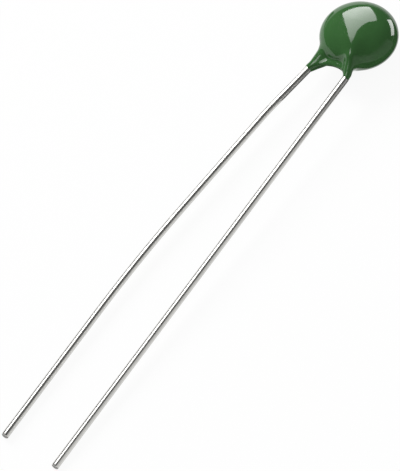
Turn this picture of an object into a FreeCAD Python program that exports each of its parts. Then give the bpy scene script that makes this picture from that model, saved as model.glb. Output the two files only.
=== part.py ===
import FreeCAD, Part
import math
import os

# Disc thermistor with two radial leads, in millimetres. The working frame has its origin at
# the middle of the ceramic disc: X across the leads, -Y along them, Z through the disc.
# The finished part is then laid on its back, as it rests on a table.

# Ceramic disc and the silver layer fired on each face
disc_diameter = 5.6
disc_thickness = 1.2
electrode_diameter = 5.1
electrode_thickness = 0.03

# Tinned copper leads
wire_diameter = 0.6
lead_pitch = 5.0
front_lead_reach = 46.54
back_lead_reach = 46.18
lead_inner_reach = 0.7
drop_reach = 2.9
front_exit_x = 1.75
front_exit_y = -4.20
front_exit_z = 0.50
back_exit_x = -1.87
back_exit_y = -4.36
back_exit_z = -0.48
edge_bend_radius = 1.2
exit_bend_radius = 1.8

# Slow outward bow of the back lead
bow_upper_x = -2.40
bow_upper_y = -9.8
bow_upper_radius = 30.0
bow_lower_x = -3.13
bow_lower_y = -27.0
bow_lower_radius = 160.0

# Solder mounds that hold the leads on the electrodes
solder_film = 0.02
solder_width = 1.9
solder_height = 0.72
solder_straight = 1.4
solder_offset = 0.2

# Dipped epoxy coat: a lens over the disc, a ridge that rises from it along each lead
coat_rim = 0.43
coat_face = 1.2
coat_shift = 0.08
coat_lift = 0.03
coat_roundness = 2.12
ridge_start = 0.05
ridge_start_height = 0.38
ridge_start_radius = 0.59
sleeve_wall = 0.09
exit_wall = 0.05

# Width of the ridge's blend with the lens, wide on the face and narrow past the disc's edge
face_blend = 1.4
edge_blend = 0.45
blend_start = 1.5
blend_end = 3.4

# Flared neck under each leg
front_neck_x = 1.20
front_neck_y = -2.63
front_neck_radius = 0.80
front_neck_end = 0.12
back_neck_x = -1.50
back_neck_y = -2.65
back_neck_radius = 0.68
back_neck_end = 0.27
neck_height = 0.38
neck_blend = 0.2

# Web of coat between the two legs, with the arch that its lower edge makes
web_thickness = 0.34
web_edge_round = 0.17
web_lift = 0.10
web_drop = 0.45
web_top = -1.5
web_front_inset = 0.20
web_back_inset = 0.10
web_end_inset = 0.32
arch_radius = 2.6
arch_shift = 0.08
web_blend = 0.2

# Sections and rings of the coat's skin, and where its patches meet
skin_sections = 72
skin_rings = 36
section_crowding = 0.65
ring_crowding = 0.6
skin_passes = 2
patch_sections = (18, 30, 42, 54)
patch_rings = (11, 24)

wire_radius = wire_diameter / 2
lead_height = disc_thickness / 2 + electrode_thickness + solder_film + wire_radius
coat_radius = disc_diameter / 2 + coat_rim
coat_half = disc_thickness / 2 + coat_face


def vec(x, y, z):
    return FreeCAD.Vector(x, y, z)


# Leads

def exit_point(side):
    """Where a lead's axis leaves the coat; side is 1 for the front lead and -1 for the back."""
    if side > 0:
        return vec(front_exit_x, front_exit_y, front_exit_z)
    return vec(back_exit_x, back_exit_y, back_exit_z)


def radial_point(side, reach, height):
    """A point over the disc on the line from its middle to where the lead leaves."""
    way = exit_point(side)
    flat = math.hypot(way.x, way.y)
    return vec(way.x / flat * reach, way.y / flat * reach, side * height)


def lead_route(side):
    """Corner points of a lead's axis and the bend radius at each inner corner."""
    points = [radial_point(side, -lead_inner_reach, lead_height)]
    points.append(radial_point(side, drop_reach, lead_height))
    points.append(exit_point(side))
    radii = [edge_bend_radius, exit_bend_radius]
    if side > 0:
        tip = vec(lead_pitch / 2, -front_lead_reach, 0)
    else:
        tip = vec(-lead_pitch / 2, -back_lead_reach, 0)
        run = tip.y - back_exit_y
        for x, y, radius in (
            (bow_upper_x, bow_upper_y, bow_upper_radius),
            (bow_lower_x, bow_lower_y, bow_lower_radius),
        ):
            points.append(vec(x, y, back_exit_z * (tip.y - y) / run))
            radii.append(radius)
    points.append(tip)
    return points, radii


def bent_path(points, radii):
    """Straight runs joined by tangent arcs."""
    edges = []
    start = points[0]
    for number, radius in enumerate(radii):
        corner = points[number + 1]
        back = (points[number] - corner).normalize()
        ahead = (points[number + 2] - corner).normalize()
        half = back.getAngle(ahead) / 2
        cut = radius / math.tan(half)
        first = corner + back * cut
        last = corner + ahead * cut
        inward = (back + ahead).normalize()
        middle = corner + inward * (radius / math.sin(half) - radius)
        edges.append(Part.LineSegment(start, first).toShape())
        edges.append(Part.Arc(first, middle, last).toShape())
        start = last
    edges.append(Part.LineSegment(start, points[-1]).toShape())
    return Part.Wire(edges)


def make_lead(side):
    points, radii = lead_route(side)
    path = bent_path(points, radii)
    along = points[1] - points[0]
    ring = Part.Wire([Part.Circle(points[0], along, wire_radius).toShape()])
    wire = path.makePipeShell([ring], True, False)
    if wire.ShapeType != "Solid":
        wire = Part.Solid(wire)
    return wire


# Disc, electrodes and solder

def make_disc():
    return Part.makeCylinder(disc_diameter / 2, disc_thickness, vec(0, 0, -disc_thickness / 2))


def make_electrode(side):
    base = vec(0, 0, side * disc_thickness / 2)
    return Part.makeCylinder(electrode_diameter / 2, electrode_thickness, base, vec(0, 0, side))


def make_solder(side, lead):
    """A long mound: half a barrel between two quarter domes, flowed round the lead."""
    half_width = solder_width / 2
    barrel = (half_width ** 2 + solder_height ** 2) / (2 * solder_height)
    floor = barrel - solder_height
    spread = math.atan2(half_width, floor) / 2
    rise = vec(0, 0, solder_height)
    knee = vec(barrel * math.sin(spread), 0, barrel * math.cos(spread) - floor)
    right = vec(half_width, 0, 0)
    left = vec(-half_width, 0, 0)
    arch = Part.Arc(right, rise, left).toShape()
    base = Part.LineSegment(left, right).toShape()
    body = Part.Face(Part.Wire([arch, base])).extrude(vec(0, solder_straight, 0))
    slope = Part.Arc(rise, knee, right).toShape()
    foot = Part.LineSegment(right, vec(0, 0, 0)).toShape()
    stem = Part.LineSegment(vec(0, 0, 0), rise).toShape()
    dome = Part.Face(Part.Wire([slope, foot, stem])).revolve(vec(0, 0, 0), vec(0, 0, 1), 360)
    far_dome = dome.translated(vec(0, solder_straight, 0))
    mound = body.fuse([dome, far_dome]).removeSplitter()
    mound.translate(vec(0, -solder_straight / 2, 0))
    if side < 0:
        mound.rotate(vec(0, 0, 0), vec(0, 1, 0), 180)
    way = exit_point(side)
    turn = math.degrees(math.atan2(way.x, -way.y))
    mound.rotate(vec(0, 0, 0), vec(0, 0, 1), turn)
    mound.translate(radial_point(side, solder_offset, disc_thickness / 2 + electrode_thickness))
    return mound.cut(lead)


# Epoxy coat: one smooth skin over the disc, the leads' sleeves, the necks and the web

def smooth_min(a, b, width):
    share = min(1.0, max(0.0, 0.5 + 0.5 * (b - a) / width))
    return b * (1 - share) + a * share - width * share * (1 - share)


def cone_gap(p, start, end, start_radius, end_radius):
    """Distance from p to a cone with round ends."""
    axis = end - start
    share = min(1.0, max(0.0, (p - start).dot(axis) / axis.dot(axis)))
    return (p - start - axis * share).Length - start_radius - (end_radius - start_radius) * share


def lens_gap(p):
    """Distance from p to the lens over the disc, along the line to its middle."""
    away = p - vec(coat_shift, coat_lift, 0)
    flat = math.hypot(away.x, away.y) / coat_radius
    high = abs(away.z) / coat_half
    size = (flat ** coat_roundness + high ** coat_roundness) ** (1 / coat_roundness)
    return away.Length * (1 - 1 / max(size, 1e-6))


def web_gap(p):
    """Distance from p to the web, which tilts from the back lead to the front one."""
    tilt = (front_exit_z - back_exit_z) / (front_exit_x - back_exit_x)
    across = abs(p.z - p.x * tilt - web_lift) / math.hypot(1, tilt) - web_thickness / 2
    arch_y = -coat_radius - web_drop - arch_radius
    edge = arch_radius - math.hypot(p.x - arch_shift, p.y - arch_y)
    edge = max(edge, p.x - front_exit_x + web_front_inset)
    edge = max(edge, back_exit_x + web_back_inset - p.x)
    edge = max(edge, back_exit_y - web_end_inset - p.y, p.y - web_top)
    inner = min(max(across, edge) + web_edge_round, 0)
    outer = math.hypot(max(across + web_edge_round, 0), max(edge + web_edge_round, 0))
    return inner + outer - web_edge_round


def leg_gap(p, side):
    """Distance from p to the coat round one lead: its ridge, its leg and its neck."""
    sleeve_radius = wire_radius + sleeve_wall
    leg_end = wire_radius + exit_wall
    start = radial_point(side, ridge_start, ridge_start_height)
    drop = radial_point(side, drop_reach, lead_height)
    end = exit_point(side)
    gap = cone_gap(p, start, drop, ridge_start_radius, sleeve_radius)
    gap = smooth_min(gap, cone_gap(p, drop, end, sleeve_radius, leg_end), neck_blend)
    if side > 0:
        neck = vec(front_neck_x, front_neck_y, neck_height)
        neck_gap = cone_gap(p, neck, end, front_neck_radius, front_neck_end)
    else:
        neck = vec(back_neck_x, back_neck_y, -neck_height)
        neck_gap = cone_gap(p, neck, end, back_neck_radius, back_neck_end)
    return smooth_min(gap, neck_gap, neck_blend)


def coat_gap(p):
    share = (math.hypot(p.x, p.y) - blend_start) / (blend_end - blend_start)
    share = min(1.0, max(0.0, share))
    share = share * share * (3 - 2 * share)
    blend = face_blend + (edge_blend - face_blend) * share
    gap = smooth_min(lens_gap(p), web_gap(p), web_blend)
    gap = smooth_min(gap, leg_gap(p, 1), blend)
    return smooth_min(gap, leg_gap(p, -1), blend)


def skin_point(way, outside):
    """The coat's outer surface along a line from the disc's middle."""
    reach = outside
    for step in range(80):
        gap = coat_gap(way * reach)
        reach -= 0.7 * gap
        if abs(gap) < 1e-5:
            break
    return way * reach


def skin_slope(p):
    """The way the skin faces at p."""
    step = 0.001
    return vec(
        coat_gap(p + vec(step, 0, 0)) - coat_gap(p - vec(step, 0, 0)),
        coat_gap(p + vec(0, step, 0)) - coat_gap(p - vec(0, step, 0)),
        coat_gap(p + vec(0, 0, step)) - coat_gap(p - vec(0, 0, step)),
    ).normalize()


def skin_grid():
    """Points of the skin on lines from the middle: sections round the disc from its top,
    crowded at the legs, each with rings from the back to the front."""
    outside = coat_radius + math.hypot(front_exit_x, front_exit_y)
    back_middle = skin_point(vec(0, 0, -1), outside)
    front_middle = skin_point(vec(0, 0, 1), outside)
    grid = []
    for section in range(skin_sections):
        turn = 2 * math.pi * section / skin_sections
        turn += section_crowding * math.sin(turn)
        row = [back_middle]
        for ring in range(1, skin_rings):
            share = 2 * ring / skin_rings - 1
            rise = math.pi / 2 * (share * (1 - ring_crowding) + ring_crowding * share ** 3)
            way = vec(
                math.sin(turn) * math.cos(rise),
                math.cos(turn) * math.cos(rise),
                math.sin(rise),
            )
            row.append(skin_point(way, outside))
        row.append(front_middle)
        grid.append(row)
    return grid


def spline_mean(rows, section, ring):
    """The point of a cubic surface at the middle of nine of its poles."""
    count = len(rows)
    total = vec(0, 0, 0)
    for step, weight in ((-1, 1), (0, 4), (1, 1)):
        row = rows[(section + step) % count]
        total += (row[ring - 1] + row[ring] * 4 + row[ring + 1]) * (weight / 36)
    return total


def make_skin(grid):
    """A closed cubic surface through the grid, seamless round the disc."""
    poles = [list(row) for row in grid]
    for step in range(skin_passes):
        poles = [
            [row[0]]
            + [
                poles[s][r] + row[r] - spline_mean(poles, s, r)
                for r in range(1, skin_rings)
            ]
            + [row[-1]]
            for s, row in enumerate(grid)
        ]
    back_slope = skin_slope(grid[0][0])
    front_slope = skin_slope(grid[0][-1])
    for row in poles:
        row[1] -= back_slope * (row[1] - row[0]).dot(back_slope)
        row[-2] -= front_slope * (row[-2] - row[-1]).dot(front_slope)
    skin = Part.BSplineSurface()
    skin.buildFromPolesMultsKnots(
        poles,
        [1] * (skin_sections + 1),
        [4] + [1] * (skin_rings - 3) + [4],
        [float(k) for k in range(skin_sections + 1)],
        [float(k) for k in range(skin_rings - 1)],
        True,
        False,
        3,
        3,
    )
    across = (0, *patch_sections, skin_sections)
    along = (0, *patch_rings, skin_rings - 2)
    patches = [
        skin.toShape(left, right, low, high)
        for left, right in zip(across, across[1:])
        for low, high in zip(along, along[1:])
    ]
    solid = Part.Solid(Part.Shell(patches))
    if solid.Volume < 0:
        solid.reverse()
    return solid


# The part as it lies on a table

def lowest(points, tilt):
    return min(p.y * math.sin(tilt) + p.z * math.cos(tilt) for p in points)


def resting_tilt(skin):
    """How far the part tips until its back and both lead ends touch the table."""
    tips = [lead_route(side)[0][-1] for side in (1, -1)]
    low = 0.0
    high = math.atan2(2 * coat_half, back_lead_reach)
    for step in range(40):
        tilt = (low + high) / 2
        if lowest(skin, tilt) < lowest(tips, tilt) - wire_radius:
            low = tilt
        else:
            high = tilt
    return tilt


def lay_down(pieces, grid):
    """Turn the part onto its back and centre it over the table's origin."""
    skin = [p for row in grid for p in row]
    tilt = resting_tilt(skin)
    for piece in pieces.values():
        piece.rotate(vec(0, 0, 0), vec(1, 0, 0), math.degrees(tilt))
    turn = FreeCAD.Rotation(vec(1, 0, 0), math.degrees(tilt))
    cloud = [turn.multVec(p) for p in skin]
    for side in (1, -1):
        points, radii = lead_route(side)
        axis = [turn.multVec(p) for p in bent_path(points, radii).discretize(400)]
        cloud += [p + vec(wire_radius, 0, 0) for p in axis]
        cloud += [p - vec(wire_radius, 0, 0) for p in axis]
        run = (axis[-1] - axis[-2]).normalize()
        cloud.append(axis[-1] - vec(0, wire_radius * math.sqrt(1 - run.y ** 2), 0))
    middle_x = (min(p.x for p in cloud) + max(p.x for p in cloud)) / 2
    middle_y = (min(p.y for p in cloud) + max(p.y for p in cloud)) / 2
    shift = vec(-middle_x, -middle_y, -lowest(skin, tilt))
    for piece in pieces.values():
        piece.translate(shift)
    return tilt, shift


def main():
    pieces = {
        "ceramic_disc": make_disc(),
        "front_electrode": make_electrode(1),
        "back_electrode": make_electrode(-1),
        "front_lead": make_lead(1),
        "back_lead": make_lead(-1),
    }
    pieces["front_solder"] = make_solder(1, pieces["front_lead"])
    pieces["back_solder"] = make_solder(-1, pieces["back_lead"])
    grid = skin_grid()
    pieces["epoxy_coating"] = make_skin(grid).cut(list(pieces.values()))
    tilt, shift = lay_down(pieces, grid)
    print("tilt", round(math.degrees(tilt), 3), "shift", shift)
    os.makedirs("parts", exist_ok=True)
    for name, piece in pieces.items():
        solid = piece.Solids[0]
        print(name, len(piece.Solids), solid.isValid(), round(solid.Volume, 4))
        solid.exportStep("parts/" + name + ".step")


if __name__ == "__main__":
    main()
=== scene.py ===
"""Dressed model of a disc thermistor: a dipped green bead on two long tinned leads."""

import math
from typing import NamedTuple

import bpy
import numpy as np
from bpy.props import FloatProperty, FloatVectorProperty, IntProperty, PointerProperty
from mathutils import Matrix, Vector


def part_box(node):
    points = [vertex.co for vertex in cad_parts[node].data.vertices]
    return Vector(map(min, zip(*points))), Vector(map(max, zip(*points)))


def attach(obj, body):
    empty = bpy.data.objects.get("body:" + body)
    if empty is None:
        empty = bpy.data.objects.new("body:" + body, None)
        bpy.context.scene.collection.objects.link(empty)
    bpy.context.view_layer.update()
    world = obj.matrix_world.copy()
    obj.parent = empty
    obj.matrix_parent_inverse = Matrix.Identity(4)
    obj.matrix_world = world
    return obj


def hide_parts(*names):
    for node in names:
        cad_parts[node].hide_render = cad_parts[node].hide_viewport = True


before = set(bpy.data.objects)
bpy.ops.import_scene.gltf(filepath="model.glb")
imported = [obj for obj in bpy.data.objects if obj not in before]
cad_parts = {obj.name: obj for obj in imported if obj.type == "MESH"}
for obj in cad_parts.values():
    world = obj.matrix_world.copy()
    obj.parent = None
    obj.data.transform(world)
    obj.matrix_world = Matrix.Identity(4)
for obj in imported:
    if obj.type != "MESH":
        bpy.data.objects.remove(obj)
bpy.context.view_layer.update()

bl_info = {
    "name": "Disc thermistor",
    "version": (1, 0, 0),
    "blender": (4, 5, 0),
    "location": "3D View > Sidebar > Thermistor",
    "description": "Builds a dipped disc thermistor with radial leads, and its studio",
    "category": "Object",
}

# Sides of the disc
FRONT = 1
BACK = -1

# Millimetres in a metre
MM = 1000

# Cosines: a face that looks up, and faces that look the same way
LOOKS_UP = 0.5
SAME_WAY = 0.999

# Fineness of the lead meshes, in metres and in faces round a wire
WIRE_SIDES = 40
WIRE_STEP = 0.00025

# Fewest steps along a bend of a lead
BEND_STEPS = 4

# Rings over a cut end: the first one's share of the wire, then shares of the rounding
TIP_MIDDLE = 0.55
TIP_RINGS = (0.55, 0.8, 0.93, 1.0)

# How far the middle of a cut end stands out, in metres
TIP_SWELL = 0.000012

# Slant of the outer cut and the way that it faces, in radians
CUT_SLANT = 0.03
CUT_FACING = 0.6

# Search for the skin along a line: where it starts, its steps, and how boldly it steps
SKIN_START = 0.0075
SKIN_STEPS = 90
SKIN_STRIDE = 0.7

# Least size of the bead to divide by, as its size is nought in the middle
TINY = 1e-6

# Share of evenly spaced rings on the bead; the rest crowd towards the legs
EVEN_RINGS = 0.4

# Tongues: fineness, where they start before the exit, how far their inside and lip sink
TONGUE_SIDES = 72
TONGUE_RINGS = 16
TONGUE_STEP = 0.00002
TONGUE_ROOT = -0.0006
TONGUE_SUNK = -0.00003
TONGUE_LIP = 0.000004

# Uneven edge of a tongue
RIPPLE = 0.00001
RIPPLES = 5

# Steps of a lead's line kept on each side of its exit
STEPS_BEFORE = 34
STEPS_AFTER = 40

# Studio: lamp and soft box places are directions from the bead, in the disc's axes
KEY_WAY = (-0.80, 0.25, 0.54)

# Corners of the soft boxes, most of them traced back from the photo's highlights
MAIN_BOX = (
    (-0.544, 0.799, 0.255),
    (-0.421, 0.890, 0.176),
    (-0.078, 0.766, 0.638),
    (-0.174, 0.564, 0.807),
    (-0.242, 0.388, 0.889),
    (-0.200, 0.130, 0.971),
    (-0.210, -0.120, 0.970),
    (-0.377, -0.057, 0.924),
    (-0.539, 0.157, 0.827),
    (-0.662, 0.331, 0.672),
    (-0.746, 0.552, 0.372),
)
STRIP_BOX = (
    (0.074, 0.957, 0.281),
    (0.620, 0.741, 0.262),
    (0.530, 0.820, -0.100),
    (0.090, 0.992, -0.084),
)

# Cards over the floor and beside the leads, in millimetres on the table
CARD_HEIGHT = 0.03
LEFT_CARD = (
    (-47, 24.6), (-17, 27), (-10.6, 25.8), (-8.2, 26), (-9.5, 27.3), (-780, 475), (-780, 24),
)
FAR_CARD = ((3.4, 42), (1.9, 54), (-7, 62), (-24, 62), (-440, 780), (3.4, 780))
RIGHT_CARD = (
    (3.4, 780), (3.4, 42), (3.9, 29), (3.7, 25.4), (4.0, 22), (3.4, 20.6),
    (2.7, 19.3), (2.5, 17.8), (6, 14.5), (14, 6), (60, -20), (780, -400), (780, 780),
)
# The web card is painted shade: a dark sheet on the floor under the web, which the web and the legs
# mirror as the shade beneath them
WEB_SHADE_CARD = ((-1.6, 14), (1.6, 14), (1.6, 18.5), (-1.6, 18.5))
# The cards at the lead ends are painted shade: dim sheets on the floor under the cut ends, which
# the end faces mirror as a dark crescent
BACK_TIP_SHADE_CARD = ((-3.3, -25.6), (-1.7, -25.6), (-1.7, -24.5), (-3.3, -24.5))
FRONT_TIP_SHADE_CARD = ((1.7, -26), (3.3, -26), (3.3, -24.85), (1.7, -24.85))
SIDE_CARD = ((9, -40, 0), (9, 27, 0), (9, 27, 9.5), (9, -40, 9.5))

# Dark dome: fineness, and how near the top its last ring comes
DOME_SIDES = 96
DOME_RINGS = 12
DOME_REACH = 0.995

# Height of the dome's rim, and its swells as height, bearing and width, in degrees
RIM = 0.1
RIM_SWELLS = ((9, -52, 28), (5, -125, 22))

# Camera, in the disc's axes, as fitted to the wires and the bead's outline in the photo
CAMERA_SPOT = (0.15376382, -0.19237389, 0.31587249)
CAMERA_RIGHT = (0.82342753, 0.55829033, -0.10138547)
CAMERA_UP = (-0.40807523, 0.70680903, 0.577837)

WHITE = (1, 1, 1, 1)

# Where the disc lies: its middle, its face's normal and the way back from the leads


def disc_place(node):
    """Matrix from the disc's own axes to the table's, read from the ceramic disc."""
    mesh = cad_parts[node].data
    low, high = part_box(node)
    face = max(mesh.polygons, key=lambda f: f.area if f.normal.z > LOOKS_UP else 0.0)
    total = Vector((0.0, 0.0, 0.0))
    for other in mesh.polygons:
        if other.normal.dot(face.normal) > SAME_WAY:
            total += other.normal * other.area
    up = total.normalized()
    along = (Vector((0.0, 1.0, 0.0)) - up * up.y).normalized()
    across = along.cross(up)
    turn = Matrix((across, along, up)).transposed().to_4x4()
    return Matrix.Translation((low + high) / 2) @ turn


place = disc_place("ceramic_disc")


def length(name, text, default):
    """A size in metres."""
    return FloatProperty(
        name=name, description=text, default=default, min=0.0, unit="LENGTH", precision=6
    )


def offset(name, text, default):
    """A position along one of the disc's own axes, in metres."""
    return FloatProperty(
        name=name, description=text, default=default, unit="LENGTH", precision=6
    )


def spot(name, text, default):
    """A point in the disc's own axes, in metres."""
    return FloatVectorProperty(
        name=name, description=text, default=default, subtype="TRANSLATION", unit="LENGTH"
    )


def share(name, text, default):
    """A plain number between nothing and one."""
    return FloatProperty(name=name, description=text, default=default, min=0.0, max=1.0)


def power(name, text, default):
    """How strong a lamp or a soft box is."""
    return FloatProperty(name=name, description=text, default=default, min=0.0)


def tint(name, text, default):
    """A colour in linear light."""
    return FloatVectorProperty(
        name=name, description=text, default=default, size=3, subtype="COLOR", min=0, max=1
    )


class LeadSettings(bpy.types.PropertyGroup):
    """Sizes and finish of the two tinned leads."""

    wire_radius: length("Wire radius", "Half the wire's thickness", 0.0003)
    pitch: length("Pitch", "Distance between the lead ends", 0.005)
    rise: length("Height on the disc", "Wire axis above the disc's middle", 0.00095)
    inner_end: length("Inner end", "How far a lead runs past the disc's middle", 0.0007)
    drop: length("Drop", "Where a lead bends down past the disc's edge", 0.0029)
    front_exit: spot(
        "Front exit", "Where the front lead leaves the coat", (0.00175, -0.00420, 0.00050)
    )
    back_exit: spot(
        "Back exit", "Where the back lead leaves the coat", (-0.00187, -0.00436, -0.00048)
    )
    front_reach: length("Front reach", "Front lead's end below the disc's middle", 0.04664)
    back_reach: length("Back reach", "Back lead's end below the disc's middle", 0.0463)
    edge_bend: length("Edge bend", "Bend radius over the disc's edge", 0.0012)
    exit_bend: length("Exit bend", "Bend radius where a lead leaves the coat", 0.0018)
    upper_bow_x: offset("Upper bow across", "Back lead's upper bend, across", -0.00240)
    upper_bow_y: offset("Upper bow along", "Back lead's upper bend, along", -0.0098)
    upper_bow_radius: length("Upper bow radius", "Radius of the upper bend", 0.030)
    lower_bow_x: offset("Lower bow across", "Back lead's lower bend, across", -0.00313)
    lower_bow_y: offset("Lower bow along", "Back lead's lower bend, along", -0.027)
    lower_bow_radius: length("Lower bow radius", "Radius of the lower bend", 0.160)
    tip_bevel: length("Tip bevel", "Rounding of a lead's cut end", 0.0001)
    metal: tint("Tin", "Colour of the tin plating", (0.64, 0.635, 0.61))
    metallic: share("Metallic", "How far the drawn tin mirrors", 0.88)
    polish: share("Roughness", "Roughness of the drawn tin", 0.2)


class CoatSettings(bpy.types.PropertyGroup):
    """Sizes and colours of the dipped coat."""

    radius: length("Bead radius", "Outer radius of the coated disc", 0.00323)
    depth: length("Bead depth", "Half the thickness of the coated disc", 0.0018)
    shift: offset("Bead shift", "How far the bead sits off the disc, across the leads", 0.00008)
    lift: offset("Bead lift", "How far the bead sits off the disc, away from the leads", 0.00003)
    roundness: FloatProperty(
        name="Roundness", description="Fullness of the bead's edge", default=2.12, min=2, max=4
    )
    ridge_start: length("Ridge start", "How far off the middle a ridge starts", 0.00005)
    ridge_height: length("Ridge start height", "Where a ridge starts in the bead", 0.00038)
    ridge_radius: length("Ridge start radius", "Radius of a ridge where it starts", 0.00059)
    sleeve: length("Sleeve wall", "Coat over a lead at the disc's edge", 0.00009)
    film: length("Exit wall", "Coat round a lead where it leaves", 0.000035)
    seam: length("Seam", "Width of the blend where a leg, a neck or the web joins", 0.0002)
    face_blend: length("Face blend", "Width of a ridge's blend on the face", 0.0014)
    edge_blend: length("Edge blend", "Width of a leg's blend past the edge", 0.00045)
    blend_from: length("Blend from", "Where the blend starts to narrow, from the middle", 0.0015)
    blend_over: length("Blend over", "Distance over which the blend narrows", 0.0019)
    front_neck: spot(
        "Front neck", "Middle of the flare under the front leg", (0.00120, -0.00263, 0.00038)
    )
    front_flare: length("Front flare", "Radius of the flare under the front leg", 0.0008)
    front_neck_end: length("Front neck end", "Radius of the front neck at the exit", 0.00012)
    pull_back: length("Pull back", "How far the front leg ends above the exit", 0.00035)
    back_neck: spot(
        "Back neck", "Middle of the flare under the back leg", (-0.00150, -0.00265, -0.00038)
    )
    back_flare: length("Back flare", "Radius of the flare under the back leg", 0.00068)
    back_neck_end: length("Back neck end", "Radius of the back neck at the exit", 0.00027)
    web: length("Web thickness", "Thickness of the web between the legs", 0.00034)
    web_lift: offset("Web lift", "How far the web sits in front of the leads", 0.0001)
    web_drop: length("Web drop", "How far the web reaches past the bead", 0.00045)
    web_root: length("Web root", "Where the web starts, below the disc's middle", 0.0015)
    web_end: length("Web end", "How far the web runs past the back exit", 0.00032)
    web_front: length("Web front inset", "How far the web stops short of the front lead", 0.0002)
    web_back: length("Web back inset", "How far the web stops short of the back lead", 0.0001)
    arch: length("Arch radius", "Radius of the web's lower edge", 0.0026)
    arch_shift: offset("Arch shift", "How far the arch sits off the disc's middle", 0.00008)
    tongue_wall: length("Tongue wall", "Thickness of the tongues of lacquer", 0.00005)
    sections: IntProperty(
        name="Sections", description="Faces round the bead", default=256, min=16
    )
    rings: IntProperty(
        name="Rings", description="Faces from the legs to the top", default=190, min=16
    )
    lacquer: tint("Lacquer", "Colour of the epoxy", (0.034, 0.107, 0.030))
    gloss: share("Roughness", "Roughness of the lacquer", 0.07)


class StageSettings(bpy.types.PropertyGroup):
    """The table, the lights and the camera."""

    floor_size: length("Floor size", "Side of the pale floor", 3.0)
    floor_tint: tint("Floor", "Colour of the floor", (0.86, 0.86, 0.86))
    floor_white: share("Floor white", "How white the floor is seen and mirrored", 0.93)
    main_box: power("Main soft box", "Brightness of the main soft box", 7.5)
    main_distance: length("Main distance", "How far off the main soft box is", 0.45)
    strip_box: power("Strip light", "Brightness of the strip behind", 7.5)
    strip_distance: length("Strip distance", "How far off the strip is", 0.5)
    sky: share("Fill", "Brightness of the fill light", 0.55)
    key: power("Key", "Power of the key lamp in watts", 5.1)
    key_size: length("Key size", "Side of the key lamp", 0.35)
    key_distance: length("Key distance", "How far off the key lamp is", 0.7)
    dome: share("Dome", "Brightness of the dark dome in reflections", 0.06)
    dome_radius: length("Dome radius", "Radius of the dark dome", 0.8)
    # How dark the painted shade under the lead ends is, as their cut ends mirror it
    tip_shade_cards: share("Tip cards", "Brightness of the cards at the lead ends", 0.35)
    side_card: share("Side card", "Brightness of the card beside the leads", 0.75)
    lens: FloatProperty(
        name="Lens", description="Focal length", default=376.97, unit="CAMERA", min=1
    )


class Tongue(NamedTuple):
    """Where a tongue of lacquer ends round its wire; angles in radians, sizes in metres."""

    apex: float
    reach: float
    right_slope: float
    left_slope: float
    least: float = 0.0


TONGUES = {
    FRONT: Tongue(apex=0.96, reach=0.00043, right_slope=0.00055, left_slope=0.00014, least=-0.0003),
    BACK: Tongue(apex=0.2, reach=0.0002, right_slope=0.00003, left_slope=0.00003),
}


class Ramp(NamedTuple):
    """A value that runs from first to last between two places on an object's axis."""

    axis: str
    start: float
    end: float
    first: float
    last: float


# Shapes


def arc_path(points, radii, spacing):
    """Evenly spaced points along straight runs joined by tangent arcs."""
    track = []
    start = points[0]
    for number, radius in enumerate(radii):
        corner = points[number + 1]
        back = (points[number] - corner).normalized()
        ahead = (points[number + 2] - corner).normalized()
        half = back.angle(ahead) / 2
        cut = radius / math.tan(half)
        first = corner + back * cut
        last = corner + ahead * cut
        steps = max(1, round((first - start).length / spacing))
        track += [start.lerp(first, k / steps) for k in range(steps)]
        centre = corner + (back + ahead).normalized() * (radius / math.sin(half))
        sweep = math.pi - 2 * half
        axis = (first - centre).cross(last - centre).normalized()
        steps = max(BEND_STEPS, round(sweep * radius / spacing))
        for k in range(steps):
            turn = Matrix.Rotation(sweep * k / steps, 3, axis)
            track.append(centre + turn @ (first - centre))
        start = last
    steps = max(1, round((points[-1] - start).length / spacing))
    track += [start.lerp(points[-1], k / steps) for k in range(steps + 1)]
    return track


def exit_of(leads, side):
    """Where a lead leaves the coat."""
    return Vector(leads.front_exit if side == FRONT else leads.back_exit)


def over_disc(leads, side, reach, height):
    """A point over the disc, on the line from its middle to where a lead leaves."""
    way = exit_of(leads, side).to_2d().normalized() * reach
    return Vector((way.x, way.y, side * height))


def lead_track(leads, side, spacing):
    """Points along a lead's axis; the back lead has a slow outward bow."""
    leave = exit_of(leads, side)
    points = [
        over_disc(leads, side, -leads.inner_end, leads.rise),
        over_disc(leads, side, leads.drop, leads.rise),
        leave,
    ]
    radii = [leads.edge_bend, leads.exit_bend]
    reach = leads.front_reach if side == FRONT else leads.back_reach
    tip = Vector((side * leads.pitch / 2, -reach, 0.0))
    if side == BACK:
        for x, y, radius in (
            (leads.upper_bow_x, leads.upper_bow_y, leads.upper_bow_radius),
            (leads.lower_bow_x, leads.lower_bow_y, leads.lower_bow_radius),
        ):
            z = leave.z * (tip.y - y) / (tip.y - leave.y)
            points.append(Vector((x, y, z)))
            radii.append(radius)
    return arc_path(points + [tip], radii, spacing)


def ring_frames(track):
    """Each point of a track with two unit vectors across it, without twist, and one along."""
    right = Vector((1.0, 0.0, 0.0))
    frames = []
    for k, point in enumerate(track):
        ahead = track[min(k + 1, len(track) - 1)] - track[max(k - 1, 0)]
        ahead.normalize()
        right = (right - ahead * right.dot(ahead)).normalized()
        frames.append((point, right.copy(), right.cross(ahead), ahead))
    return frames


def new_mesh(name, corners, faces, smooth=True, uv=None):
    """An object made of corner points in the disc's axes, moved to where the disc lies."""
    mesh = bpy.data.meshes.new(name)
    mesh.from_pydata([tuple(c) for c in corners], [], faces)
    mesh.transform(place)
    mesh.update()
    mesh.polygons.foreach_set("use_smooth", [smooth] * len(mesh.polygons))
    if uv is not None:
        layer = mesh.uv_layers.new(name="wrap")
        for loop in mesh.loops:
            layer.data[loop.index].uv = uv[loop.vertex_index]
    return in_scene(name, mesh)


def in_scene(name, data):
    """A new object of some data, in the scene."""
    thing = bpy.data.objects.new(name, data)
    bpy.context.scene.collection.objects.link(thing)
    return thing


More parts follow.
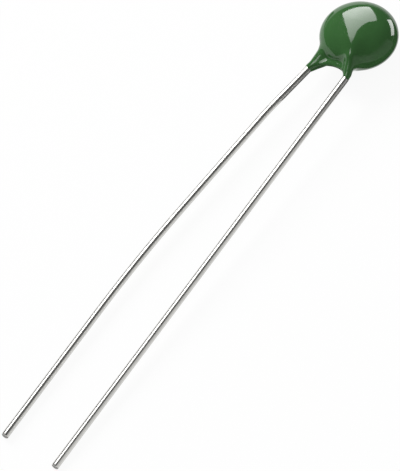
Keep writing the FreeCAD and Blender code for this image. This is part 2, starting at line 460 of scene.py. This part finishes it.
def tube(rings, around, closed=False):
    """Corner points and faces of a tube through rings of equal length."""
    corners = [c for ring in rings for c in ring]
    faces = []
    for k in range(len(rings) if closed else len(rings) - 1):
        near = k * around
        far = (k + 1) % len(rings) * around
        for j in range(around):
            side = (j + 1) % around
            faces.append((near + j, near + side, far + side, far + j))
    return corners, faces


def turned_over(faces):
    """The same faces, looking the other way."""
    return [tuple(reversed(face)) for face in faces]


def tip_rings(frame_at, leads, way):
    """Middles and radii of the rings over a cut end, from its middle to its rim."""
    point, right, up, ahead = frame_at
    radius = leads.wire_radius
    bevel = leads.tip_bevel
    rings = [(point - ahead * (way * TIP_SWELL), right, up, radius * TIP_MIDDLE)]
    for part in TIP_RINGS:
        back = bevel * (1 - math.sqrt(1 - part * part))
        rings.append((point + ahead * (way * back), right, up, radius - bevel + bevel * part))
    return rings


def make_lead(name, leads, side):
    """A drawn wire with slanted, lightly rounded ends."""
    frames = ring_frames(lead_track(leads, side, WIRE_STEP))
    rings = []
    wrap = []

    def add(run, point, right, up, size, slant):
        ring = []
        for j in range(WIRE_SIDES):
            turn = 2 * math.pi * j / WIRE_SIDES
            corner = point + right * (size * math.cos(turn)) + up * (size * math.sin(turn))
            ring.append(corner + slant * (size * math.cos(turn + CUT_FACING)))
            wrap.append((j / WIRE_SIDES, run * MM))
        rings.append(ring)

    run = 0.0
    square = Vector((0.0, 0.0, 0.0))
    for station in tip_rings(frames[0], leads, 1):
        add(run, *station, square)
    for before, (point, right, up, _) in zip(frames, frames[1:-1]):
        run += (point - before[0]).length
        add(run, point, right, up, leads.wire_radius, square)
    for station in reversed(tip_rings(frames[-1], leads, -1)):
        add(run, *station, frames[-1][3] * CUT_SLANT)
    corners, faces = tube(rings, WIRE_SIDES)
    faces.append(tuple(reversed(range(WIRE_SIDES))))
    faces.append(tuple(range(len(corners) - WIRE_SIDES, len(corners))))
    return new_mesh(name, corners, turned_over(faces), uv=wrap)


def smooth_min(a, b, width):
    """The lesser of two distances, with a soft seam of a given width."""
    mix = np.clip(0.5 + 0.5 * (b - a) / width, 0.0, 1.0)
    return b * (1 - mix) + a * mix - width * mix * (1 - mix)


def cone_gap(p, start, end, start_radius, end_radius):
    """Distance to a cone with round ends."""
    start = np.array(start)
    axis = np.array(end) - start
    part = np.clip((p - start) @ axis / (axis @ axis), 0.0, 1.0)
    away = p - start - part[..., None] * axis
    return np.linalg.norm(away, axis=-1) - start_radius - (end_radius - start_radius) * part


def web_gap(p, coat, leads):
    """Distance to the web, which tilts from the back lead to the front one."""
    front = exit_of(leads, FRONT)
    back = exit_of(leads, BACK)
    tilt = (front.z - back.z) / (front.x - back.x)
    across = np.abs(p[..., 2] - p[..., 0] * tilt - coat.web_lift) / math.hypot(1, tilt)
    across = across - coat.web / 2
    arch_y = -coat.radius - coat.web_drop - coat.arch
    edge = coat.arch - np.hypot(p[..., 0] - coat.arch_shift, p[..., 1] - arch_y)
    edge = np.maximum(edge, p[..., 0] - front.x + coat.web_front)
    edge = np.maximum(edge, back.x + coat.web_back - p[..., 0])
    edge = np.maximum(edge, back.y - coat.web_end - p[..., 1])
    edge = np.maximum(edge, p[..., 1] + coat.web_root)
    soft = coat.web / 2
    inner = np.minimum(np.maximum(across, edge) + soft, 0.0)
    outer = np.hypot(np.maximum(across + soft, 0.0), np.maximum(edge + soft, 0.0))
    return inner + outer - soft


def leg_gap(p, coat, leads, side):
    """Distance to the coat round one lead: its ridge, its leg and its neck."""
    sleeve = leads.wire_radius + coat.sleeve
    start = over_disc(leads, side, coat.ridge_start, coat.ridge_height)
    drop = over_disc(leads, side, leads.drop, leads.rise)
    leave = exit_of(leads, side)
    neck, flare, neck_end = coat.back_neck, coat.back_flare, coat.back_neck_end
    if side == FRONT:
        leave += (drop - leave).normalized() * coat.pull_back
        neck, flare, neck_end = coat.front_neck, coat.front_flare, coat.front_neck_end
    ridge = cone_gap(p, start, drop, coat.ridge_radius, sleeve)
    leg = cone_gap(p, drop, leave, sleeve, leads.wire_radius + coat.film)
    gap = smooth_min(ridge, leg, coat.seam)
    return smooth_min(gap, cone_gap(p, neck, leave, flare, neck_end), coat.seam)


def coat_gap(p, coat, leads):
    """Distance from points to the coat's skin, negative inside."""
    away = p - np.array([coat.shift, coat.lift, 0.0])
    flat = np.hypot(away[..., 0], away[..., 1]) / coat.radius
    high = np.abs(away[..., 2]) / coat.depth
    size = (flat**coat.roundness + high**coat.roundness) ** (1 / coat.roundness)
    gap = np.linalg.norm(away, axis=-1) * (1 - 1 / np.maximum(size, TINY))
    gap = smooth_min(gap, web_gap(p, coat, leads), coat.seam)
    out = (np.hypot(p[..., 0], p[..., 1]) - coat.blend_from) / coat.blend_over
    out = np.clip(out, 0.0, 1.0)
    out = out * out * (3 - 2 * out)
    blend = coat.face_blend + (coat.edge_blend - coat.face_blend) * out
    gap = smooth_min(gap, leg_gap(p, coat, leads, FRONT), blend)
    return smooth_min(gap, leg_gap(p, coat, leads, BACK), blend)


def skin_points(ways, coat, leads):
    """Where lines from the disc's middle leave the skin."""
    reach = np.full(ways.shape[:-1], SKIN_START)
    for _ in range(SKIN_STEPS):
        gap = coat_gap(ways * reach[..., None], coat, leads)
        reach = reach - SKIN_STRIDE * gap
    return ways * reach[..., None]


def make_coat(name, coat, leads):
    """The coat's skin in rings from the middle of the arch to the top."""
    turn = np.arange(coat.sections) / coat.sections * 2 * math.pi
    part = np.linspace(0.0, 1.0, coat.rings + 1)[1:-1]
    open_angle = math.pi * (EVEN_RINGS * part + (1 - EVEN_RINGS) * part**2)
    lean, spin = np.meshgrid(open_angle, turn, indexing="ij")
    ways = np.stack(
        [np.sin(lean) * np.cos(spin), -np.cos(lean), np.sin(lean) * np.sin(spin)], axis=-1
    )
    skin = skin_points(ways, coat, leads)
    ends = skin_points(np.array([[0.0, -1.0, 0.0], [0.0, 1.0, 0.0]]), coat, leads)
    rings = [[Vector(c) for c in ring] for ring in skin]
    corners, faces = tube(rings, coat.sections)
    bottom = len(corners)
    corners += [Vector(ends[0]), Vector(ends[1])]
    last = bottom - coat.sections
    for j in range(coat.sections):
        k = (j + 1) % coat.sections
        faces.append((bottom, k, j))
        faces.append((bottom + 1, last + j, last + k))
    return new_mesh(name, corners, turned_over(faces))


def tongue_end(tongue, turn, side):
    """How far past the exit a tongue reaches at an angle round its wire."""
    swing = (turn - tongue.apex + math.pi) % (2 * math.pi) - math.pi
    slope = tongue.right_slope if swing > 0 else tongue.left_slope
    reach = max(tongue.reach - slope * abs(swing), tongue.least)
    return reach + RIPPLE * math.sin(RIPPLES * turn + side)


def make_tongue(name, coat, leads, side):
    """The thin tongue of lacquer that the dip leaves on a lead past the leg's end."""
    track = lead_track(leads, side, TONGUE_STEP)
    leave = exit_of(leads, side)
    nearest = min(range(len(track)), key=lambda k: (track[k] - leave).length)
    frames = ring_frames(track[nearest - STEPS_BEFORE : nearest + STEPS_AFTER])
    profile = []
    for k in range(TONGUE_RINGS + 1):
        part = k / TONGUE_RINGS
        profile.append((part, coat.tongue_wall * math.sqrt(1 - part**3) - TONGUE_LIP * part))
    profile += [(1.0, TONGUE_SUNK), (0.0, TONGUE_SUNK)]
    rings = []
    for part, thick in profile:
        ring = []
        for j in range(TONGUE_SIDES):
            turn = 2 * math.pi * j / TONGUE_SIDES
            run = tongue_end(TONGUES[side], turn, side) - TONGUE_ROOT
            along = TONGUE_ROOT + run * part
            step = round(along / TONGUE_STEP) + STEPS_BEFORE
            point, _, _, ahead = frames[min(max(step, 0), len(frames) - 1)]
            out = Vector((math.sin(turn), 0.0, math.cos(turn)))
            out = (out - ahead * out.dot(ahead)).normalized()
            ring.append(point + out * (leads.wire_radius + thick))
        rings.append(ring)
    corners, faces = tube(rings, TONGUE_SIDES, closed=True)
    return new_mesh(name, corners, turned_over(faces))


# Finishes


def fresh_material(name):
    """A node material without nodes, and its node tree."""
    finish = bpy.data.materials.new(name)
    finish.use_nodes = True
    tree = finish.node_tree
    tree.nodes.clear()
    return finish, tree


def add_node(tree, kind, **inputs):
    """A node of a kind, with values for its inputs; spaces in names are underscores."""
    node = tree.nodes.new(kind)
    for key, value in inputs.items():
        node.inputs[key.replace("_", " ")].default_value = value
    return node


def two_values(tree, operation, first, second):
    """The result of an operation on two values."""
    node = tree.nodes.new("ShaderNodeMath")
    node.operation = operation
    tree.links.new(first, node.inputs[0])
    tree.links.new(second, node.inputs[1])
    return node.outputs["Value"]


def noise(tree, scale, detail, where=None, rough=0.5):
    """A noise texture, over the object's own coordinates where none are given."""
    texture = add_node(tree, "ShaderNodeTexNoise", Scale=scale, Detail=detail, Roughness=rough)
    if where is None:
        where = tree.nodes.new("ShaderNodeTexCoord").outputs["Object"]
    tree.links.new(where, texture.inputs["Vector"])
    return texture.outputs["Fac"]


def ranged(tree, source, start, end, first, last):
    """A value that runs from first to last while its source runs from start to end."""
    ranger = add_node(
        tree, "ShaderNodeMapRange", From_Min=start, From_Max=end, To_Min=first, To_Max=last
    )
    tree.links.new(source, ranger.inputs["Value"])
    return ranger.outputs["Result"]


def spread(tree, source, low, high):
    """A value stretched from the middle of a noise to a range."""
    return ranged(tree, source, start=0.3, end=0.7, first=low, last=high)


def along_axis(tree, ramp):
    """A ramp's value, from the object's own coordinates."""
    where = tree.nodes.new("ShaderNodeTexCoord")
    split = tree.nodes.new("ShaderNodeSeparateXYZ")
    tree.links.new(where.outputs["Object"], split.inputs["Vector"])
    place_on_axis = split.outputs[ramp.axis]
    return ranged(tree, place_on_axis, ramp.start, ramp.end, ramp.first, ramp.last)


def varied_colour(tree, source, colour, low, high):
    """A colour that a noise makes darker and lighter, between two shares of it."""
    mixer = tree.nodes.new("ShaderNodeMix")
    mixer.data_type = "RGBA"
    mixer.inputs["A"].default_value = (*(c * low for c in colour), 1.0)
    mixer.inputs["B"].default_value = (*(c * high for c in colour), 1.0)
    tree.links.new(spread(tree, source, 0.0, 1.0), mixer.inputs["Factor"])
    return mixer.outputs["Result"]


def bumped(tree, surface, source, height, strength):
    """A bump from a value, in metres of height."""
    bump = add_node(tree, "ShaderNodeBump", Strength=strength, Distance=height)
    tree.links.new(source, bump.inputs["Height"])
    tree.links.new(bump.outputs["Normal"], surface.inputs["Normal"])


def finish_surface(tree, surface):
    """Sends a shader to the material's output."""
    output = tree.nodes.new("ShaderNodeOutputMaterial")
    tree.links.new(surface.outputs[0], output.inputs["Surface"])


def lacquer_finish(coat):
    """Glossy dipped epoxy: slow colour drift, fine dust and faint ripples."""
    finish, tree = fresh_material("green_dipped_epoxy")
    surface = add_node(tree, "ShaderNodeBsdfPrincipled", Metallic=0.0, IOR=1.52)
    drift = noise(tree, scale=420.0, detail=4.0)
    colour = varied_colour(tree, drift, coat.lacquer, low=0.93, high=1.07)
    tree.links.new(colour, surface.inputs["Base Color"])
    dust = noise(tree, scale=900.0, detail=3.0)
    rough = spread(tree, dust, low=coat.gloss * 0.8, high=coat.gloss * 1.3)
    tree.links.new(rough, surface.inputs["Roughness"])
    ripples = noise(tree, scale=700.0, detail=1.0)
    bumped(tree, surface, ripples, height=0.000012, strength=0.12)
    finish_surface(tree, surface)
    return finish


def tin_finish(leads):
    """Drawn tin plating: fine lines along the wire and slow changes of shine."""
    finish, tree = fresh_material("drawn_tin_plating")
    surface = add_node(tree, "ShaderNodeBsdfPrincipled", Metallic=leads.metallic)
    wrap = tree.nodes.new("ShaderNodeUVMap")
    wrap.uv_map = "wrap"
    stretch = add_node(tree, "ShaderNodeMapping", Scale=(9.0, 0.25, 1.0))
    tree.links.new(wrap.outputs["UV"], stretch.inputs["Vector"])
    lines = noise(tree, scale=6.0, detail=5.0, where=stretch.outputs["Vector"], rough=0.6)
    patches = noise(tree, scale=650.0, detail=3.0)
    colour = varied_colour(tree, patches, leads.metal, low=0.94, high=1.04)
    tree.links.new(colour, surface.inputs["Base Color"])
    rough = spread(tree, lines, low=leads.polish * 0.9, high=leads.polish * 1.12)
    tree.links.new(rough, surface.inputs["Roughness"])
    bumped(tree, surface, lines, height=0.000001, strength=0.06)
    finish_surface(tree, surface)
    return finish


def core_finish(name, colour, metallic, rough, grain, height):
    """A grainy finish for the sealed pieces inside the coat."""
    finish, tree = fresh_material(name)
    surface = add_node(tree, "ShaderNodeBsdfPrincipled", Metallic=metallic)
    grains = noise(tree, scale=grain, detail=6.0)
    mixed = varied_colour(tree, grains, colour, low=0.85, high=1.1)
    tree.links.new(mixed, surface.inputs["Base Color"])
    uneven = spread(tree, grains, low=rough * 0.85, high=rough * 1.15)
    tree.links.new(uneven, surface.inputs["Roughness"])
    bumped(tree, surface, grains, height, strength=0.4)
    finish_surface(tree, surface)
    return finish


def glow_finish(name, strength):
    """An even glow, for the cards, the dome and the soft boxes."""
    finish, tree = fresh_material(name)
    finish_surface(tree, add_node(tree, "ShaderNodeEmission", Color=WHITE, Strength=strength))
    return finish


def dress(thing, finish):
    """Puts one material on an object."""
    thing.data.materials.clear()
    thing.data.materials.append(finish)


# Stage


def only_in_reflections(thing, strength):
    """Makes a glowing card or box that gloss and metal show, and that lights nothing else."""
    dress(thing, glow_finish(thing.name + "_cloth", strength))
    thing.visible_camera = False
    thing.visible_diffuse = False
    thing.visible_transmission = False
    thing.visible_shadow = False


def soft_box(name, directions, distance, strength):
    """A soft box whose corners lie along given directions from the bead."""
    ways = [Vector(d).normalized() for d in directions]
    middle = sum(ways, Vector((0, 0, 0))).normalized()
    corners = [way * (distance / way.dot(middle)) for way in ways]
    box = new_mesh(name, corners, [tuple(range(len(corners)))], smooth=False)
    only_in_reflections(box, strength)
    return box


def card(name, corners, strength):
    """A flat card that only reflections show; corners in millimetres on the table."""
    mesh = bpy.data.meshes.new(name)
    metres = [tuple(c / MM for c in corner) for corner in corners]
    mesh.from_pydata(metres, [], [tuple(range(len(corners)))])
    thing = in_scene(name, mesh)
    only_in_reflections(thing, strength)
    return thing


def graded(thing, one, other):
    """Lets two ramps along an object's axes set how strong it glows."""
    tree = thing.data.materials[0].node_tree
    level = two_values(tree, "MULTIPLY", along_axis(tree, one), along_axis(tree, other))
    glow = next(n for n in tree.nodes if n.bl_idname == "ShaderNodeEmission")
    tree.links.new(level, glow.inputs["Strength"])


def add_key(stage):
    """A large soft lamp from the upper left of the picture; it lights, but isn't mirrored."""
    lamp = bpy.data.lights.new("key", "AREA")
    lamp.shape = "SQUARE"
    lamp.size = stage.key_size
    lamp.energy = stage.key
    holder = in_scene("key", lamp)
    way = place.to_3x3() @ Vector(KEY_WAY).normalized()
    holder.location = place.translation + way * stage.key_distance
    holder.rotation_mode = "QUATERNION"
    holder.rotation_quaternion = way.to_track_quat("Z", "Y")
    holder.visible_glossy = False
    holder.visible_camera = False


def rim_at(compass):
    """Height of the dome's rim in degrees, at a bearing in degrees from the leads' side."""
    swells = (
        swell * math.exp(-(((compass - middle) / width) ** 2))
        for swell, middle, width in RIM_SWELLS
    )
    return RIM + sum(swells)


def dark_dome(name, radius, strength):
    """A dark dome over the part; white shows below its rim, higher on the left."""
    rings = []
    for k in range(DOME_RINGS + 1):
        ring = []
        for j in range(DOME_SIDES):
            compass = 2 * math.pi * j / DOME_SIDES - math.pi
            rim = rim_at(math.degrees(compass))
            rise = math.radians(rim + (90 - rim) * k / DOME_RINGS * DOME_REACH)
            flat = radius * math.cos(rise)
            x = flat * math.sin(compass)
            y = -flat * math.cos(compass)
            ring.append(Vector((x, y, radius * math.sin(rise))))
        rings.append(ring)
    corners, faces = tube(rings, DOME_SIDES)
    faces.append(tuple(range(len(corners) - DOME_SIDES, len(corners))))
    only_in_reflections(new_mesh(name, corners, faces, smooth=False), strength)


def background_rays(tree):
    """One for rays from the camera, from gloss and metal, and through glass."""
    seen = tree.nodes.new("ShaderNodeLightPath").outputs
    mirrored = two_values(tree, "MAXIMUM", seen["Is Camera Ray"], seen["Is Glossy Ray"])
    return two_values(tree, "MAXIMUM", mirrored, seen["Is Transmission Ray"])


def either_shader(tree, choice, first, second):
    """The first shader where the choice is nought, the second where it is one."""
    both = tree.nodes.new("ShaderNodeMixShader")
    tree.links.new(choice, both.inputs["Fac"])
    tree.links.new(first.outputs[0], both.inputs[1])
    tree.links.new(second.outputs[0], both.inputs[2])
    return both


class THERMISTOR_OT_leads(bpy.types.Operator):
    """Make the two tinned leads"""

    bl_idname = "thermistor.leads"
    bl_label = "Leads"

    def execute(self, context):
        leads = context.scene.thermistor_leads
        finish = tin_finish(leads)
        for name, node, side in (
            ("front_wire", "front_lead", FRONT),
            ("back_wire", "back_lead", BACK),
        ):
            wire = make_lead(name, leads, side)
            dress(wire, finish)
            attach(wire, "root")
            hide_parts(node)
        return {"FINISHED"}


class THERMISTOR_OT_coat(bpy.types.Operator):
    """Make the dipped green coat with its web, legs and tongues"""

    bl_idname = "thermistor.coat"
    bl_label = "Dipped coat"

    def execute(self, context):
        coat = context.scene.thermistor_coat
        leads = context.scene.thermistor_leads
        finish = lacquer_finish(coat)
        bead = make_coat("dipped_bead", coat, leads)
        dress(bead, finish)
        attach(bead, "root")
        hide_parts("epoxy_coating")
        for name, side in (("front_tongue", FRONT), ("back_tongue", BACK)):
            tongue = make_tongue(name, coat, leads, side)
            dress(tongue, finish)
            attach(tongue, "root")
        return {"FINISHED"}


class THERMISTOR_OT_core(bpy.types.Operator):
    """Finish the sealed disc, its silver faces and its solder"""

    bl_idname = "thermistor.core"
    bl_label = "Sealed core"

    def execute(self, context):
        oxide = core_finish(
            "sintered_oxide",
            colour=(0.09, 0.085, 0.08), metallic=0.0, rough=0.7, grain=2500.0, height=0.00001,
        )
        silver = core_finish(
            "fired_silver",
            colour=(0.82, 0.81, 0.78), metallic=1.0, rough=0.45, grain=4000.0, height=0.000003,
        )
        solder = core_finish(
            "tin_solder",
            colour=(0.68, 0.68, 0.67), metallic=1.0, rough=0.25, grain=900.0, height=0.000008,
        )
        for node, finish in (
            ("ceramic_disc", oxide),
            ("front_electrode", silver),
            ("back_electrode", silver),
            ("front_solder", solder),
            ("back_solder", solder),
        ):
            dress(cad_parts[node], finish)
        return {"FINISHED"}


class THERMISTOR_OT_stage(bpy.types.Operator):
    """Set up the pale floor, the soft boxes, the fill light and the camera"""

    bl_idname = "thermistor.stage"
    bl_label = "Stage"

    def execute(self, context):
        stage = context.scene.thermistor_stage
        self.make_floor(stage)
        self.make_boxes(stage)
        add_key(stage)
        self.make_cards(stage)
        dark_dome("dark_dome", stage.dome_radius, stage.dome)
        self.make_sky(context, stage)
        self.make_camera(context, stage)
        context.scene.view_settings.view_transform = "Standard"
        return {"FINISHED"}

    def make_floor(self, stage):
        """A matt floor that takes the shadow; seen or mirrored, it is nearly white."""
        half = stage.floor_size / 2
        mesh = bpy.data.meshes.new("floor")
        corners = [(-half, -half, 0), (half, -half, 0), (half, half, 0), (-half, half, 0)]
        mesh.from_pydata(corners, [], [(0, 1, 2, 3)])
        floor = in_scene("floor", mesh)
        finish, tree = fresh_material("pale_floor")
        matt = add_node(tree, "ShaderNodeBsdfDiffuse", Color=(*stage.floor_tint, 1.0))
        white = add_node(tree, "ShaderNodeEmission", Color=WHITE, Strength=1.0)
        seen = background_rays(tree)
        amount = ranged(tree, seen, start=0.0, end=1.0, first=0.0, last=stage.floor_white)
        finish_surface(tree, either_shader(tree, amount, matt, white))
        dress(floor, finish)

    def make_boxes(self, stage):
        """The main soft box, dimmer at its near end and right side, and the strip behind."""
        bright = stage.main_box
        main = soft_box("main_soft_box", MAIN_BOX, stage.main_distance, bright)
        graded(
            main,
            Ramp(axis="Y", start=-0.07, end=0.3, first=bright * 0.3, last=bright),
            Ramp(axis="X", start=-0.27, end=-0.08, first=1.0, last=0.65),
        )
        soft_box("strip_light", STRIP_BOX, stage.strip_distance, stage.strip_box)

    def make_cards(self, stage):
        """Dark cards on the floor, dim ones at the lead ends and a grey one on the right; the dim
        ones at the lead ends and the dark one under the web are painted shade that only reflections
        show.
        """
        for name, outline, strength in (
            ("left_card", LEFT_CARD, stage.dome),
            ("far_card", FAR_CARD, stage.dome),
            ("right_card", RIGHT_CARD, stage.dome),
            ("back_tip_shade_card", BACK_TIP_SHADE_CARD, stage.tip_shade_cards),
            ("front_tip_shade_card", FRONT_TIP_SHADE_CARD, stage.tip_shade_cards),
            ("web_shade_card", WEB_SHADE_CARD, stage.dome),
        ):
            card(name, [(x, y, CARD_HEIGHT) for x, y in outline], strength)
        bright = stage.side_card
        grey = card("grey_card", SIDE_CARD, bright)
        graded(
            grey,
            Ramp(axis="Y", start=0.012, end=0.018, first=bright, last=bright * 0.5),
            Ramp(axis="Z", start=0.006, end=0.0095, first=1.0, last=0.1),
        )

    def make_sky(self, context, stage):
        """Even fill light; seen or mirrored, the surroundings are white."""
        world = bpy.data.worlds.new("studio")
        world.use_nodes = True
        tree = world.node_tree
        tree.nodes.clear()
        fill = add_node(tree, "ShaderNodeBackground", Color=WHITE, Strength=stage.sky)
        white = add_node(tree, "ShaderNodeBackground", Color=WHITE, Strength=1.0)
        both = either_shader(tree, background_rays(tree), fill, white)
        output = tree.nodes.new("ShaderNodeOutputWorld")
        tree.links.new(both.outputs["Shader"], output.inputs["Surface"])
        context.scene.world = world

    def make_camera(self, context, stage):
        """The photo's view: from above, across the leads."""
        data = bpy.data.cameras.new("camera")
        data.lens = stage.lens
        data.sensor_width = 36.0
        data.clip_start = 0.01
        data.clip_end = 20.0
        camera = in_scene("camera", data)
        right = Vector(CAMERA_RIGHT)
        up = Vector(CAMERA_UP)
        turn = Matrix((right, up, right.cross(up))).transposed().to_4x4()
        camera.matrix_world = place @ Matrix.Translation(CAMERA_SPOT) @ turn
        context.scene.camera = camera


class THERMISTOR_PT_builder(bpy.types.Panel):
    """Buttons and sizes of the thermistor"""

    bl_label = "Thermistor"
    bl_space_type = "VIEW_3D"
    bl_region_type = "UI"
    bl_category = "Thermistor"

    def draw(self, context):
        for group in ("thermistor_leads", "thermistor_coat", "thermistor_stage"):
            settings = getattr(context.scene, group)
            for key in settings.bl_rna.properties.keys():
                if key not in ("name", "rna_type"):
                    self.layout.prop(settings, key)
        for button in operators:
            self.layout.operator(button.bl_idname)


operators = (
    THERMISTOR_OT_leads,
    THERMISTOR_OT_coat,
    THERMISTOR_OT_core,
    THERMISTOR_OT_stage,
)
classes = (LeadSettings, CoatSettings, StageSettings) + operators + (THERMISTOR_PT_builder,)


def register():
    for kind in classes:
        bpy.utils.register_class(kind)
    bpy.types.Scene.thermistor_leads = PointerProperty(type=LeadSettings)
    bpy.types.Scene.thermistor_coat = PointerProperty(type=CoatSettings)
    bpy.types.Scene.thermistor_stage = PointerProperty(type=StageSettings)


def unregister():
    del bpy.types.Scene.thermistor_stage
    del bpy.types.Scene.thermistor_coat
    del bpy.types.Scene.thermistor_leads
    for kind in reversed(classes):
        bpy.utils.unregister_class(kind)


def main():
    register()
    bpy.ops.thermistor.leads()
    bpy.ops.thermistor.coat()
    bpy.ops.thermistor.core()
    bpy.ops.thermistor.stage()
    bpy.context.view_layer.update()


if __name__ == "__main__":
    main()
